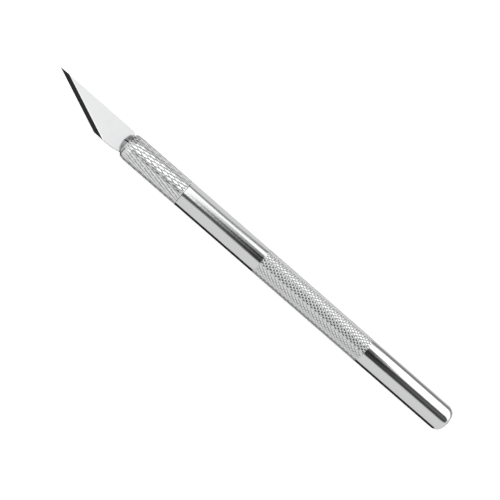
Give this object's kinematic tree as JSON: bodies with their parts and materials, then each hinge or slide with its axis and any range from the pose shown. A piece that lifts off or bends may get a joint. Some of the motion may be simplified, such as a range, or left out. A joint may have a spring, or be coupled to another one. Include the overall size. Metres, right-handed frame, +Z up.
{
  "type": "craft knife",
  "caption": "Slim round-bodied craft knife with a pointed blade held in a split collet by a knurled chuck sleeve, and a knurled grip band on the handle.",
  "frame": {"origin": "on the surface that the knife lies on, under the middle of its length and under its axis", "axes": "+X runs from the blade tip to the butt, +Y is the side of the blade's spine, +Z is up, square to the flats of the blade"},
  "size_m": [0.145, 0.008, 0.008],
  "materials": {
    "handle_aluminium": "bright turned bar with a knurled band",
    "sleeve_aluminium": "bright, knurled all over",
    "collet_metal": "turned and slit",
    "blade_steel": "satin flats with a darker ground edge"
  },
  "bodies": {
    "handle_body": {"handle": "handle_aluminium"},
    "sleeve_body": {"chuck_sleeve": "sleeve_aluminium"},
    "collet_body": {"collet": "collet_metal"},
    "blade_body": {"blade": "blade_steel"}
  },
  "joints": [
    {"name": "chuck_turn", "type": "hinge", "parent": "handle_body", "child": "sleeve_body", "pos_m": [-0.025, 0, 0.004], "axis": [-1, 0, 0], "range_deg": [0, 810]},
    {"name": "collet_feed", "type": "slide", "parent": "sleeve_body", "child": "collet_body", "axis": [-1, 0, 0], "range_m": [0, 0.0018]},
    {"name": "blade_draw", "type": "slide", "parent": "collet_body", "child": "blade_body", "axis": [-1, 0, 0], "range_m": [0, 0.0142]}
  ],
  "couplings": [
    {"joint": "chuck_turn", "follows": "collet_feed", "rad_per_m": 7854}
  ]
}
